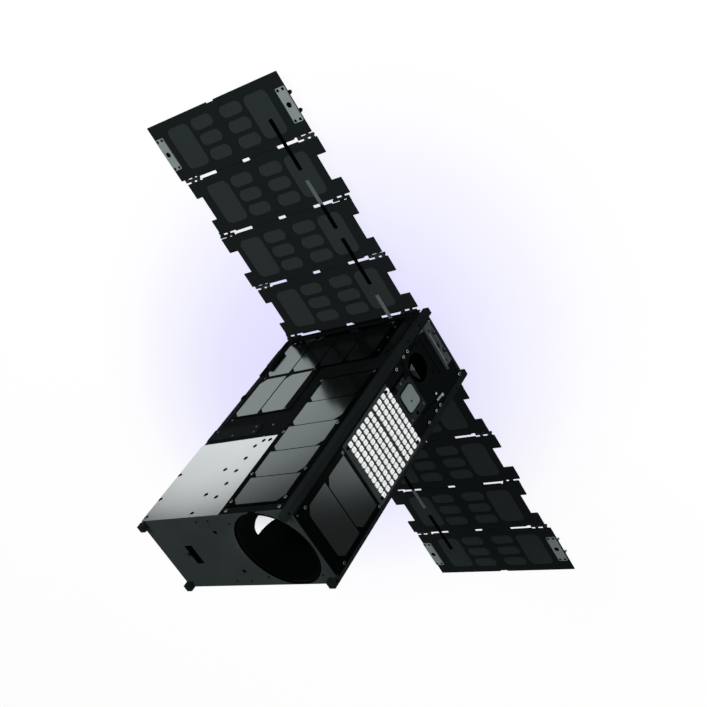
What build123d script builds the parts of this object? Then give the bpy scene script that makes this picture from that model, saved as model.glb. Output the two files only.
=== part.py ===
"""A six-unit nanosatellite with a telescope and two folding solar wings.

It stands on the ends of its four rails. x runs across the large faces, y from the back large face to
the front one, z up to the telescope's opening, and the origin is the middle of the footprint.
All sizes are in millimetres.
"""

import os

from build123d import *

# ---- Structure --------------------------------------------------------------------------------
width = 226.3  # rail face to rail face, x
depth = 100.0  # rail face to rail face, y
height = 340.5  # rail end to rail end, z
rail = 8.5  # square section of the corner rails
rail_edge = 0.8  # rounding along the rails
foot = 7.0  # rail beyond each end plate
end_plate = 2.0
skin = 2.0  # side frames
inset = 1.5  # frames lie this far below the rail faces
lap = 3.5  # rebate in one rail, for the boards of the narrow face that lap it
seat = 0.2  # clearance round inner parts

# ---- Telescope --------------------------------------------------------------------------------
aperture_lip = 3.2  # opening in the end plate, beyond the baffle's wall
aperture_rim = 1.0  # plate left between the opening and a large face
aperture_side_rim = 1.4  # and the narrow face
baffle_wall = 1.2
baffle_flange = 1.5
baffle_length = 190.0
baffle_floor = 3.0
vane_reach = 4.0
vane = 1.0
vane_count = 2
mirror_gap = 2.0  # from the mirror's rim to the wall
mirror_edge = 10.0

# ---- Electronics stack ------------------------------------------------------------------------
stack_side_gap = 6.0
stack_low_gap = 11.0
stack_high_gap = 16.0

# ---- Umbilical socket -------------------------------------------------------------------------
socket_from_left = 41.2
socket_y = -1.5
socket_width = 12.0
socket_length = 27.0
socket_depth = 9.0
socket_wall = 1.0
key_width = 5.5  # polarising notch in the socket's left side
key_length = 6.0

# ---- Solar cells ------------------------------------------------------------------------------
board = 1.0  # carrier board under the cells
cell = 0.3  # cell wafer
crop = 7.5  # cropped corner of a cell
cell_length = 70.0
cell_gap = 1.5  # between cells on the narrow faces
board_edge = 1.9  # board beyond the cells

corner_columns = 4
corner_cell_gap = 2.3
corner_row_gap = 6.0
corner_board_left = 13.1  # from the body's left side
corner_board_right = 29.0  # and from its right side
corner_side_edge = 2.6  # board left of the cells
corner_end_edge = 12.7  # board right of the cells in the full row
corner_step_edge = 8.7  # board right of the second cells

strip_board_right = 13.2  # from the body's right side
board_gap = 0.5  # to the corner board's taller columns
strip_board_low = 110.5  # above the floor
strip_board_top = 11.0  # below the top of the frame
strip_board_edge = 3.0
strip_side_edge = 6.0
strip_rows = 5
strip_cell_gap = 1.2

# ---- Radiator, strips and flange on a large face ----------------------------------------------
radiator_gap = 3.1  # to the strip board
radiator_low = 207.5  # above the floor
bar_left = 1.0  # from the body's left side
bar_width = 81.0
bar_low = 180.5
bar_height = 19.0
bar_round = 3.0
margin_strip_left = 2.2
margin_strip_width = 9.5
margin_strip_low = 85.0
margin_strip_height = 84.5
trim = 1.2  # thickness of the bar and the margin strip
flange_right = 11.2  # from the body's right side
flange_height = 9.0
flange = 1.5

# ---- Right narrow face ------------------------------------------------------------------------
side_gap = 3.0  # front rail to the boards
side_board_top = 3.0  # below the top of the frame
side_board_height = 97.0
side_rows = 2
side_cell_edge = 6.7
side_cells_top = 14.0  # board above the cells
side_cells_low = 3.0  # and below them
array_low = 127.5
array_gap = 2.5  # between the array and the board above it
array = 1.2
patch_base_low = 87.7
patch_base_height = 37.8
patch_base_width = 41.5
patch_base_left = 22.5  # from the front rail
patch_base = 1.0
patch_ear_width = 6.0  # ear on the left side of the plate
patch_ear_height = 18.0
patch = 1.2
patch_side = 25.5
patch_round = 5.0
patch_shift_u = -3.0
patch_shift_z = -0.5

tracker_left = 4.5  # mounting plate, from the front rail
tracker_low = 48.7
tracker_width = 44.0
tracker_height = 38.5
tracker_plate = 1.0
tracker_mouth_u = 0.0  # mouth, from the middle of the mounting plate
tracker_mouth_z = 0.6
tracker_mouth = 17.0  # radius
tracker_throat = 8.0
tracker_wall = 1.5
tracker_depth = 34.0

groove_left = 6.5  # slot below the star tracker, from the front rail
groove_low = 39.5
groove_width = 51.0
groove_height = 1.8
bracket_left = 1.8  # angle bracket at the wing end, from the front rail
bracket_low = 11.5
bracket_width = 57.5
bracket_height = 13.0
bracket = 1.2
lip_width = 61.0
lip_height = 2.4
lip = 2.5
gusset_width = 4.0
gusset_height = 12.0

# ---- Left narrow face -------------------------------------------------------------------------
left_board_low = 20.0
left_board_top = 11.0  # below the top of the frame
left_rows = 7

# ---- Wings ------------------------------------------------------------------------------------
leaf = 1.6  # panel thickness
leaf_rise = 2.5  # upper face of the panels above the wing-end plate
leaf_margin = 15.3  # body width less panel width
tip_leaf_margin = 12.3
leaf_shift = 2.0  # successive panels sit to either side of the middle
root_standoff = 5.5  # rail face to root hinge line
hinge_pitch = 78.5
tip_gap = 1.5  # by which the tip panel is shorter than the pitch
hinge_offset = 1.5  # hinge axis to the panels' middle plane
knuckle = 1.7  # barrel radius
hinge_pin = 0.8
pin_clearance = 0.05
knuckle_gap = 0.3
tab_grip = 3.0  # tab length on the panel
corner_setback = 3.4  # panel edge to hinge line at the knuckles
corner_reach = 27.0  # from the panel's side
slot_setback = 2.0  # at the slots
tongue_setback = 0.2  # at the tongues, where the panels nearly touch
tongue_x = 28.0
tongue_width = 44.0
notch_x = 19.4  # inner edge of the side notches, from the body's side
notch_length = 32.0
pocket = 0.5
knuckle_overhang = 1.0
tip_notch_width = 12.0
tip_notch = 1.5
pocket_shift = -1.0
pocket_border = 11.7  # notch to the windows
window_width = 36.0
window_length = 54.0
window_round = 8.0
pocket_rib = 4.8
spine_rib = 13.5
pill_length = 15.0
pill_pitch = 20.0
leaf_cell_count = 4
leaf_cell_border = 13.5

# ---- Hold-downs -------------------------------------------------------------------------------
hold_inset = 13.15  # release bolt from the body's side
hold_shift = -1.5
hold_narrow = 6.0
hold_wide = 8.0
hold_length = 31.0
hold_height = 5.0  # above the rail faces
hold_hole = 2.5
tip_bracket = 1.2
tip_bracket_width = 13.0
tip_bracket_length = 42.0
tip_bracket_round = 1.5
stud = 1.5
stud_length = 5.5
stud_spread = 22.0
stud_outset = 5.0

# ---- Root hinge -------------------------------------------------------------------------------
root_strip = 1.5
root_strip_drop = 3.5  # below the wing-end plate
root_strip_rise = 4.0
root_strip_margin = 19.3

# ---- Derived places ---------------------------------------------------------------------------
large_face = depth / 2 - inset
narrow_face = width / 2 - inset
frame_low = foot + end_plate
frame_high = height - foot - end_plate
rail_inner_x = width / 2 - rail
rail_inner_y = depth / 2 - rail
baffle_radius = large_face - skin - seat
aperture = 2 * (baffle_radius + aperture_lip)
telescope_x = width / 2 - aperture_side_rim - aperture / 2
leaf_top = foot + leaf_rise
leaf_middle = leaf_top - leaf / 2
leaf_width = width - leaf_margin
tip_leaf_width = width - tip_leaf_margin
root_y = depth / 2 + root_standoff
hold_reach = width / 2 - hold_inset
hold_z = leaf_middle + hinge_offset + hinge_pitch / 2

os.makedirs("parts", exist_ok=True)


def keep(piece, label):
    """Label a finished sub-part and write it."""
    piece.part.label = label
    export_step(piece.part, f"parts/{label}.step")


def face(outward, distance):
    """Workplane on a side of the body: u level, v up, normal into the body."""
    outward = Vector(outward)
    return Plane(origin=outward * distance, x_dir=outward.cross(Vector(0, 0, 1)), z_dir=-outward)


def span(low_u, high_u, low_v, high_v):
    """Rectangle given by its edges, for use inside a sketch."""
    with Locations(((low_u + high_u) / 2, (low_v + high_v) / 2)):
        return Rectangle(high_u - low_u, high_v - low_v)


def cell_shape(cell_width, cell_height, cropped_side):
    """Outline of a cell with two corners cropped, on its left or on its upper side."""
    with BuildSketch() as outline:
        Rectangle(cell_width, cell_height)
        if cropped_side == "left":
            corners = outline.vertices().group_by(Axis.X)[0]
        else:
            corners = outline.vertices().group_by(Axis.Y)[-1]
        chamfer(corners, crop)
    return outline.sketch


# ---- Rails ------------------------------------------------------------------------------------
rail_table = (  # name, side along x, side along y
    ("front_right", 1, 1),
    ("front_left", -1, 1),
    ("back_right", 1, -1),
    ("back_left", -1, -1),
)
for name, side_x, side_y in rail_table:
    middle = (side_x * (width - rail) / 2, side_y * (depth - rail) / 2)
    with BuildPart() as corner_rail:
        with BuildSketch():
            with Locations(middle):
                Rectangle(rail, rail)
        extrude(amount=height)
        fillet(corner_rail.edges().filter_by(Axis.Z), rail_edge)
        if name.endswith("left"):  # milled down, so that the large-face plates run over it
            with BuildSketch(Plane.XY.offset(foot)):
                with Locations((middle[0], side_y * (large_face + inset / 2))):
                    Rectangle(rail, inset)
            extrude(amount=height - 2 * foot, mode=Mode.SUBTRACT)
        if name == "back_right":  # rebated, so that the narrow-face boards lap it
            with BuildSketch(Plane.XY.offset(array_low - seat)):
                with Locations((narrow_face + inset / 2, -rail_inner_y - (lap + seat) / 2)):
                    Rectangle(inset, lap + seat)
            extrude(amount=frame_high - side_board_top - array_low + 2 * seat, mode=Mode.SUBTRACT)
    keep(corner_rail, f"rail_{name}")

# ---- End plates -------------------------------------------------------------------------------
with BuildPart() as wing_end_plate:
    with BuildSketch(Plane.XY.offset(foot)):
        Rectangle(width, depth)
        with GridLocations(width - rail, depth - rail, 2, 2):
            Rectangle(rail, rail, mode=Mode.SUBTRACT)
    extrude(amount=end_plate)
keep(wing_end_plate, "wing_end_plate")

socket_x = socket_from_left + socket_width / 2 - width / 2
with BuildSketch() as aperture_outline:
    Circle(aperture / 2)
    Rectangle(aperture, depth - 2 * aperture_rim, mode=Mode.INTERSECT)
with BuildPart() as telescope_end_plate:
    with BuildSketch(Plane.XY.offset(height - foot)):
        Rectangle(width, depth)
        with GridLocations(width - rail, depth - rail, 2, 2):
            Rectangle(rail, rail, mode=Mode.SUBTRACT)
        with Locations((telescope_x, 0)):
            add(aperture_outline.sketch, mode=Mode.SUBTRACT)
        with Locations((socket_x, socket_y)):
            Rectangle(socket_width, socket_length, mode=Mode.SUBTRACT)
        with Locations((socket_x - socket_width / 2, socket_y)):
            Rectangle(2 * key_width, key_length, mode=Mode.SUBTRACT)
    extrude(amount=-end_plate)
keep(telescope_end_plate, "telescope_end_plate")

# ---- Side frames ------------------------------------------------------------------------------
for name, side in (("front", 1), ("back", -1)):
    with BuildPart() as large_frame:
        with BuildSketch(face((0, side, 0), large_face)):
            span(-rail_inner_x, rail_inner_x, frame_low, frame_high)
        extrude(amount=skin)
    keep(large_frame, f"{name}_frame")

tracker_u = -rail_inner_y + tracker_left + tracker_width / 2 + tracker_mouth_u
tracker_z = tracker_low + tracker_height / 2 + tracker_mouth_z
groove_u = -rail_inner_y + groove_left
with BuildPart() as right_frame:
    with BuildSketch(face((1, 0, 0), narrow_face)):
        span(-rail_inner_y, rail_inner_y, frame_low, frame_high)
        with Locations((tracker_u, tracker_z)):
            Circle(tracker_mouth + tracker_wall + seat, mode=Mode.SUBTRACT)
        with Locations((groove_u + groove_width / 2, groove_low + groove_height / 2)):
            Rectangle(groove_width, groove_height, mode=Mode.SUBTRACT)
    extrude(amount=skin)
keep(right_frame, "right_frame")

with BuildPart() as left_frame:
    with BuildSketch(face((-1, 0, 0), narrow_face)):
        span(-rail_inner_y, rail_inner_y, frame_low, frame_high)
    extrude(amount=skin)
keep(left_frame, "left_frame")

# ---- Electronics stack ------------------------------------------------------------------------
stack_left = -rail_inner_x + stack_side_gap
stack_right = telescope_x - aperture / 2 - stack_side_gap
with BuildPart() as avionics_stack:
    with BuildSketch(Plane.XY.offset(frame_low + stack_low_gap)):
        span(stack_left, stack_right, skin - large_face, large_face - skin)
    extrude(amount=frame_high - stack_high_gap - frame_low - stack_low_gap)
keep(avionics_stack, "avionics_stack")

# ---- Telescope --------------------------------------------------------------------------------
baffle_inner = baffle_radius - baffle_wall
baffle_bottom = frame_high - baffle_length
telescope_axis = Axis((telescope_x, 0, 0), (0, 0, 1))
with BuildPart() as telescope_baffle:
    with BuildSketch(Plane((telescope_x, 0, 0), x_dir=(1, 0, 0), z_dir=(0, -1, 0))):
        span(baffle_inner, baffle_radius, baffle_bottom, frame_high)
        span(0, baffle_radius, baffle_bottom, baffle_bottom + baffle_floor)
        for number in range(1, vane_count + 1):
            vane_z = frame_high - number * baffle_length / (vane_count + 1)
            span(baffle_inner - vane_reach, baffle_inner, vane_z, vane_z + vane)
    revolve(axis=telescope_axis)
    with BuildSketch(Plane.XY.offset(frame_high)):
        flange_x = telescope_x - aperture / 2 - seat
        span(flange_x, rail_inner_x - seat, -baffle_radius, baffle_radius)
        span(flange_x, narrow_face - skin - seat, seat - rail_inner_y, rail_inner_y - seat)
        with Locations((telescope_x, 0)):
            Circle(baffle_inner, mode=Mode.SUBTRACT)
    extrude(amount=-baffle_flange)
keep(telescope_baffle, "telescope_baffle")

mirror_radius = baffle_inner - mirror_gap
mirror_top = baffle_bottom + baffle_floor + mirror_edge
with BuildPart() as telescope_mirror:
    with BuildSketch(Plane.XY.offset(mirror_top)):
        with Locations((telescope_x, 0)):
            Circle(mirror_radius)
    extrude(amount=-mirror_edge)
keep(telescope_mirror, "telescope_mirror")

# ---- Umbilical socket -------------------------------------------------------------------------
with BuildPart() as umbilical_socket:
    with BuildSketch(Plane.XY.offset(height - foot)):
        with Locations((socket_x, socket_y)):
            Rectangle(socket_width, socket_length)
    extrude(amount=-socket_depth)
    with BuildSketch(Plane.XY.offset(frame_high)):
        with Locations((socket_x - socket_width / 2, socket_y)):
            Rectangle(2 * key_width, key_length)
    extrude(amount=end_plate - socket_depth)
    with BuildSketch(Plane.XY.offset(height - foot)):
        with Locations((socket_x, socket_y)):
            Rectangle(socket_width - 2 * socket_wall, socket_length - 2 * socket_wall)
    extrude(amount=socket_wall - socket_depth, mode=Mode.SUBTRACT)
keep(umbilical_socket, "umbilical_socket")

# ---- Large faces ------------------------------------------------------------------------------
# u runs along the wing's hinge line. The back face has the radiator and the strip board swapped, so
# that both telescope sides match, and its taller cell columns at the other end of the row.
corner_left = corner_board_left - width / 2
corner_right = width / 2 - corner_board_right
corner_cells_width = corner_right - corner_left - corner_side_edge - corner_end_edge
corner_cell_pitch = (corner_cells_width + corner_cell_gap) / corner_columns
corner_cell = cell_shape(corner_cell_pitch - corner_cell_gap, cell_length, "left")
corner_low = foot + root_strip_rise + board_edge + seat
strip_top = frame_high - strip_board_top
strip_cell_pitch = (strip_top - strip_board_low - 2 * strip_board_edge + strip_cell_gap) / strip_rows
strip_board_width = corner_board_left + 2 * corner_cell_pitch - board_gap - strip_board_right
strip_cell_width = strip_board_width - 2 * strip_side_edge
strip_cell = cell_shape(strip_cell_width, strip_cell_pitch - strip_cell_gap, "top")
radiator_width = width - strip_board_right - strip_board_width - radiator_gap
large_face_table = (  # name, side along y, columns with a second cell, side of the strip board
    ("front", 1, (0, 1), 1),
    ("back", -1, (2, 3), -1),
)
for name, side, tall_columns, strip_side in large_face_table:
    corner_places = []
    for column in range(corner_columns):
        place_u = corner_left + corner_side_edge - corner_cell_gap / 2 + (column + 0.5) * corner_cell_pitch
        corner_places.append((place_u, corner_low + cell_length / 2))
        if column in tall_columns:
            corner_places.append((place_u, corner_low + 1.5 * cell_length + corner_row_gap))
    tall_u = corner_left + tall_columns[0] * corner_cell_pitch
    tall_end = tall_u + 2 * corner_cell_pitch + corner_side_edge + corner_step_edge
    with BuildPart() as corner_board:
        with BuildSketch(face((0, side, 0), large_face)):
            span(corner_left, corner_right, corner_low - board_edge, corner_low + cell_length + board_edge)
            high = corner_low + 2 * cell_length + corner_row_gap + board_edge
            span(tall_u, min(tall_end, corner_right), corner_low, high)
            with Locations((hold_shift - hold_reach, hold_z)):
                Rectangle(hold_narrow + 2 * seat, hold_length + 2 * seat, mode=Mode.SUBTRACT)
        extrude(amount=-board)
    keep(corner_board, f"{name}_corner_board")

    with BuildPart() as corner_cells:
        with BuildSketch(face((0, side, 0), large_face + board)):
            with Locations(*corner_places):
                add(corner_cell)
        extrude(amount=-cell)
    keep(corner_cells, f"{name}_corner_cells")

    strip_u = strip_side * (width / 2 - strip_board_right - strip_board_width / 2)
    with BuildPart() as strip_board:
        with BuildSketch(face((0, side, 0), large_face)):
            with Locations((strip_u, (strip_board_low + strip_top) / 2)):
                Rectangle(strip_board_width, strip_top - strip_board_low)
        extrude(amount=-board)
    keep(strip_board, f"{name}_strip_board")

    with BuildPart() as strip_cells:
        with BuildSketch(face((0, side, 0), large_face + board)):
            with Locations((strip_u, (strip_board_low + strip_top) / 2)):
                with GridLocations(strip_cell_width, strip_cell_pitch, 1, strip_rows):
                    add(strip_cell)
        extrude(amount=-cell)
    keep(strip_cells, f"{name}_strip_cells")

    radiator_u = strip_side * (radiator_width - width) / 2
    with BuildPart() as radiator_plate:
        with BuildSketch(face((0, side, 0), large_face)):
            with Locations((radiator_u, (radiator_low + frame_high) / 2)):
                Rectangle(radiator_width, frame_high - radiator_low)
        extrude(amount=-inset)
    keep(radiator_plate, f"{name}_radiator")

    with BuildPart() as hold_downs:
        with BuildSketch(face((0, side, 0), large_face)):
            for edge, hold_width in ((-1, hold_narrow), (1, hold_wide)):
                with Locations((hold_shift + edge * hold_reach, hold_z)):
                    Rectangle(hold_width, hold_length)
                    Circle(hold_hole, mode=Mode.SUBTRACT)
        extrude(amount=-inset - hold_height)
    keep(hold_downs, f"{name}_hold_downs")

bar_u = bar_left - width / 2
with BuildPart() as front_bar:
    with BuildSketch(face((0, 1, 0), large_face)) as bar_outline:
        span(bar_u, bar_u + bar_width, bar_low, bar_low + bar_height)
        fillet(bar_outline.vertices().group_by(Axis.X)[-1], bar_round)
    extrude(amount=-trim)
keep(front_bar, "front_bar")

strip_u = margin_strip_left - width / 2
with BuildPart() as front_margin_strip:
    with BuildSketch(face((0, 1, 0), large_face)):
        span(strip_u, strip_u + margin_strip_width, margin_strip_low, margin_strip_low + margin_strip_height)
    extrude(amount=-trim)
keep(front_margin_strip, "front_margin_strip")

flange_u = width / 2 - flange_right
with BuildPart() as front_flange:
    with BuildSketch(face((0, 1, 0), large_face)):
        span(flange_u - strip_board_width, flange_u, frame_high - flange_height, frame_high)
    extrude(amount=-flange)
keep(front_flange, "front_flange")

# ---- Right narrow face ------------------------------------------------------------------------
side_low_u = -rail_inner_y + side_gap
side_high_u = rail_inner_y + lap
side_top = frame_high - side_board_top
side_low = side_top - side_board_height
side_cell_pitch = (side_board_height - side_cells_top - side_cells_low + cell_gap) / side_rows
side_cell_width = side_high_u - side_low_u - 2 * side_cell_edge
side_cell = cell_shape(side_cell_width, side_cell_pitch - cell_gap, "top")
with BuildPart() as right_board:
    with BuildSketch(face((1, 0, 0), narrow_face)):
        span(side_low_u, side_high_u, side_low, side_top)
    extrude(amount=-board)
keep(right_board, "right_board")

with BuildPart() as right_cells:
    with BuildSketch(face((1, 0, 0), narrow_face + board)):
        cells_z = (side_low + side_cells_low + side_top - side_cells_top) / 2
        with Locations(((side_low_u + side_high_u) / 2, cells_z)):
            with GridLocations(side_cell_width, side_cell_pitch, 1, side_rows):
                add(side_cell)
    extrude(amount=-cell)
keep(right_cells, "right_cells")

with BuildPart() as antenna_array:
    with BuildSketch(face((1, 0, 0), narrow_face)):
        span(side_low_u, side_high_u, array_low, side_low - array_gap)
    extrude(amount=-array)
keep(antenna_array, "antenna_array")

patch_u = -rail_inner_y + patch_base_left
patch_middle_z = patch_base_low + patch_base_height / 2
with BuildPart() as patch_plate:
    with BuildSketch(face((1, 0, 0), narrow_face)):
        span(patch_u, patch_u + patch_base_width, patch_base_low, patch_base_low + patch_base_height)
        with Locations((patch_u, patch_middle_z)):
            Rectangle(2 * patch_ear_width, patch_ear_height)
    extrude(amount=-patch_base)
keep(patch_plate, "patch_plate")

with BuildPart() as patch_antenna:
    with BuildSketch(face((1, 0, 0), narrow_face + patch_base)):
        with Locations((patch_u + patch_base_width / 2 + patch_shift_u, patch_middle_z + patch_shift_z)):
            RectangleRounded(patch_side, patch_side, patch_round)
    extrude(amount=-patch)
keep(patch_antenna, "patch_antenna")

tracker_axis = Axis((0, -tracker_u, tracker_z), (1, 0, 0))
tracker_plate_u = tracker_u - tracker_mouth_u
tracker_plate_z = tracker_z - tracker_mouth_z
with BuildPart() as star_tracker:
    with BuildSketch(Plane((0, -tracker_u, tracker_z), x_dir=(1, 0, 0), z_dir=(0, -1, 0))):
        mouth_x = narrow_face + tracker_plate
        throat_x = mouth_x - tracker_depth
        with BuildLine():
            Polyline(
                (mouth_x, tracker_mouth),
                (throat_x, tracker_throat),
                (throat_x, 0),
                (throat_x - tracker_wall, 0),
                (throat_x - tracker_wall, tracker_throat + tracker_wall),
                (mouth_x, tracker_mouth + tracker_wall),
                close=True,
            )
        make_face()
    revolve(axis=tracker_axis)
    with BuildSketch(face((1, 0, 0), narrow_face)):
        with Locations((tracker_plate_u, tracker_plate_z)):
            Rectangle(tracker_width, tracker_height)
        with Locations((tracker_u, tracker_z)):
            Circle(tracker_mouth + tracker_wall / 2, mode=Mode.SUBTRACT)
    extrude(amount=-tracker_plate)
keep(star_tracker, "star_tracker")

bracket_u = -rail_inner_y + bracket_left
with BuildPart() as side_bracket:
    with BuildSketch(face((1, 0, 0), narrow_face)):
        span(bracket_u, bracket_u + bracket_width, bracket_low, bracket_low + bracket_height)
    extrude(amount=-bracket)
    with BuildSketch(face((1, 0, 0), narrow_face)):
        lip_low = bracket_low + bracket_height
        span(bracket_u, bracket_u + lip_width, lip_low, lip_low + lip_height)
    extrude(amount=-lip)
    with BuildSketch(face((1, 0, 0), narrow_face)):
        gusset_low = lip_low + lip_height
        with BuildLine():
            Polyline(
                (bracket_u, gusset_low),
                (bracket_u + gusset_width, gusset_low),
                (bracket_u, gusset_low + gusset_height),
                close=True,
            )
        make_face()
    extrude(amount=-bracket)
keep(side_bracket, "side_bracket")

# ---- Left narrow face -------------------------------------------------------------------------
left_top = frame_high - left_board_top
left_cell_pitch = (left_top - left_board_low - 2 * board_edge + cell_gap) / left_rows
left_cell_width = 2 * rail_inner_y - 2 * side_cell_edge
left_cell = cell_shape(left_cell_width, left_cell_pitch - cell_gap, "top")
with BuildPart() as left_board:
    with BuildSketch(face((-1, 0, 0), narrow_face)):
        span(seat - rail_inner_y, rail_inner_y - seat, left_board_low, left_top)
    extrude(amount=-board)
keep(left_board, "left_board")

with BuildPart() as left_cells:
    with BuildSketch(face((-1, 0, 0), narrow_face + board)):
        with Locations((0, (left_board_low + left_top) / 2)):
            with GridLocations(left_cell_width, left_cell_pitch, 1, left_rows):
                add(left_cell)
    extrude(amount=-cell)
keep(left_cells, "left_cells")


# ---- Wings ------------------------------------------------------------------------------------
# The front wing points along +y. The back wing is the same one turned half round the z axis: side is
# 1 or -1, and every wing workplane has u along the hinges and v outward. Hinge 0 is at the root.
def hinge_v(number):
    """Distance of a hinge axis from the body's middle."""
    return root_y + number * hinge_pitch


def hinge_z(number):
    """Height of a hinge axis, above and below the panels by turns, so that the wing folds flat."""
    return leaf_middle + (hinge_offset if number % 2 == 0 else -hinge_offset)


def wing_plane(side, distance, level):
    """Level workplane of a wing, v starting at a distance from the body's middle."""
    return Plane(origin=(0, side * distance, level), x_dir=(side, 0, 0), z_dir=(0, 0, 1))


knuckle_table = (  # start in the group, length, whose barrel it is
    (0.0, 6.0, "outer"),
    (7.5, 5.5, "inner"),
    (13.0 + knuckle_gap, 4.0, "outer"),
    (17.0 + 2 * knuckle_gap, 5.0, "inner"),
)
group_length = knuckle_table[-1][0] + knuckle_table[-1][1]
group_end = leaf_width / 2 - leaf_shift + knuckle_overhang
group_starts = (-group_end, group_end - group_length)


def barrel_spans(owner):
    """Start and length of an owner's barrels in both knuckle groups of a hinge."""
    spans = []
    for group in group_starts:
        for start, length, barrel_owner in knuckle_table:
            if barrel_owner == owner:
                spans.append((group + start, length))
    return spans


def hinge_rods(side, number, spans, radius):
    """Cylinders on a hinge axis."""
    with BuildPart() as rods:
        for start, length in spans:
            origin = (side * start, side * hinge_v(number), hinge_z(number))
            with BuildSketch(Plane(origin=origin, x_dir=(0, side, 0), z_dir=(side, 0, 0))):
                Circle(radius)
            extrude(amount=length)
    return rods.part


def hinge_tabs(side, number, spans, outward):
    """Tabs from the barrels of a hinge to the panel that carries them."""
    up = 1 if leaf_middle > hinge_z(number) else -1
    reach = corner_setback + tab_grip
    with BuildPart() as tab_set:
        with BuildSketch(wing_plane(side, hinge_v(number), hinge_z(number) + up * knuckle_gap)):
            for start, length in spans:
                span(start, start + length, min(0, outward * reach), max(0, outward * reach))
        extrude(amount=up * (hinge_offset - knuckle_gap))
    return tab_set.part


def leaf_plate(side, number):
    """Panel 1 to 4: tongues, slots, knuckle corners, side notches and pockets."""
    is_tip = number == 4
    across = tip_leaf_width if is_tip else leaf_width
    shift = leaf_shift if number % 2 else -leaf_shift
    near = slot_setback
    far = hinge_pitch - (tip_gap if is_tip else slot_setback)
    corner = across / 2 - corner_reach
    ends = (near,) if is_tip else (near, far)
    field = leaf_width - 2 * leaf_shift - notch_x - pocket_border
    window_u = width / 2 - notch_x - pocket_border - window_width / 2
    pill_width = window_u - window_width / 2 - pocket_rib - spine_rib / 2
    pill_u = (spine_rib + pill_width) / 2
    with BuildPart() as plate:
        with BuildSketch(wing_plane(side, hinge_v(number - 1), leaf_top - leaf)):
            with Locations((shift, (near + far) / 2)):
                Rectangle(across, far - near)
            for end in ends:
                toward = -1 if end == near else 1
                for edge in (-1, 1):
                    with Locations((edge * tongue_x, end + toward * (slot_setback - tongue_setback) / 2)):
                        Rectangle(tongue_width, slot_setback - tongue_setback)
                    with Locations((shift + edge * (corner + across / 2), end)):
                        Rectangle(across, 2 * (corner_setback - slot_setback), mode=Mode.SUBTRACT)
            for edge in (-1, 1):
                if is_tip:
                    with Locations((hold_shift + edge * hold_reach, hinge_pitch / 2)):
                        Circle(hold_hole, mode=Mode.SUBTRACT)
                else:
                    with Locations((edge * (width / 2 - notch_x + across / 2), hinge_pitch / 2)):
                        Rectangle(across, notch_length, mode=Mode.SUBTRACT)
            if is_tip:
                with Locations((0, far)):
                    Rectangle(tip_notch_width, 2 * tip_notch, mode=Mode.SUBTRACT)
        extrude(amount=leaf)
        with BuildSketch(wing_plane(side, hinge_v(number - 1), leaf_top)):
            for edge in (-1, 1):
                with Locations((shift + pocket_shift + edge * window_u, hinge_pitch / 2)):
                    RectangleRounded(window_width, window_length, window_round)
            with Locations((shift + pocket_shift, hinge_pitch / 2)):
                with GridLocations(2 * pill_u, pill_pitch, 2, 3):
                    SlotOverall(pill_width, pill_length)
        extrude(amount=-pocket, mode=Mode.SUBTRACT)
    return plate.part


leaf_cell_pitch = (width - 2 * notch_x - 2 * leaf_cell_border + cell_gap) / leaf_cell_count
leaf_cell = cell_shape(leaf_cell_pitch - cell_gap, cell_length, "left")
pin_spans = [(start, group_length) for start in group_starts]
outer_spans = barrel_spans("outer")
inner_spans = barrel_spans("inner")

for name, side in (("front", 1), ("back", -1)):
    root_barrels = hinge_rods(side, 0, inner_spans, knuckle)
    root_pins = hinge_rods(side, 0, pin_spans, hinge_pin)
    with BuildPart() as root_hinge:
        with BuildSketch(face((0, side, 0), depth / 2)):
            half = width / 2 - root_strip_margin / 2
            span(-half, half, foot - root_strip_drop, foot + root_strip_rise)
        extrude(amount=-root_strip)
        with BuildSketch(wing_plane(side, depth / 2, hinge_z(0) - knuckle)):
            for start, length in inner_spans:
                span(start, start + length, 0, root_standoff)
        extrude(amount=knuckle)
        add(root_barrels)
        add(root_pins)
    keep(root_hinge, f"{name}_root_hinge")

    for number in range(1, 5):
        pieces = [
            leaf_plate(side, number),
            hinge_rods(side, number - 1, outer_spans, knuckle),
            hinge_tabs(side, number - 1, outer_spans, 1),
        ]
        if number < 4:
            pieces.append(hinge_rods(side, number, inner_spans, knuckle))
            pieces.append(hinge_rods(side, number, pin_spans, hinge_pin))
            pieces.append(hinge_tabs(side, number, inner_spans, -1))
        bores = hinge_rods(side, number - 1, outer_spans, hinge_pin + pin_clearance)
        with BuildPart() as wing_panel:
            for piece in pieces:
                add(piece)
            add(bores, mode=Mode.SUBTRACT)
        keep(wing_panel, f"{name}_panel_{number}")

        with BuildPart() as panel_cells:
            with BuildSketch(wing_plane(side, hinge_v(number - 1), leaf_top - leaf)):
                with Locations((0, hinge_pitch / 2)):
                    with GridLocations(leaf_cell_pitch, cell_length, leaf_cell_count, 1):
                        add(leaf_cell)
            extrude(amount=-cell)
        keep(panel_cells, f"{name}_panel_{number}_cells")

    with BuildPart() as tip_brackets:
        for edge in (-1, 1):
            place = (hold_shift + edge * hold_reach, hinge_pitch / 2)
            with BuildSketch(wing_plane(side, hinge_v(3), leaf_top)):
                with Locations(place):
                    RectangleRounded(tip_bracket_width, tip_bracket_length, tip_bracket_round)
                    Circle(hold_hole, mode=Mode.SUBTRACT)
            extrude(amount=tip_bracket)
            stud_place = (hold_shift + edge * (hold_reach + stud_outset), hinge_pitch / 2)
            with BuildSketch(wing_plane(side, hinge_v(3), leaf_top - leaf)):
                with Locations(stud_place):
                    with GridLocations(stud, stud_spread, 1, 2):
                        Circle(stud)
            extrude(amount=-stud_length)
    keep(tip_brackets, f"{name}_tip_brackets")
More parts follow.
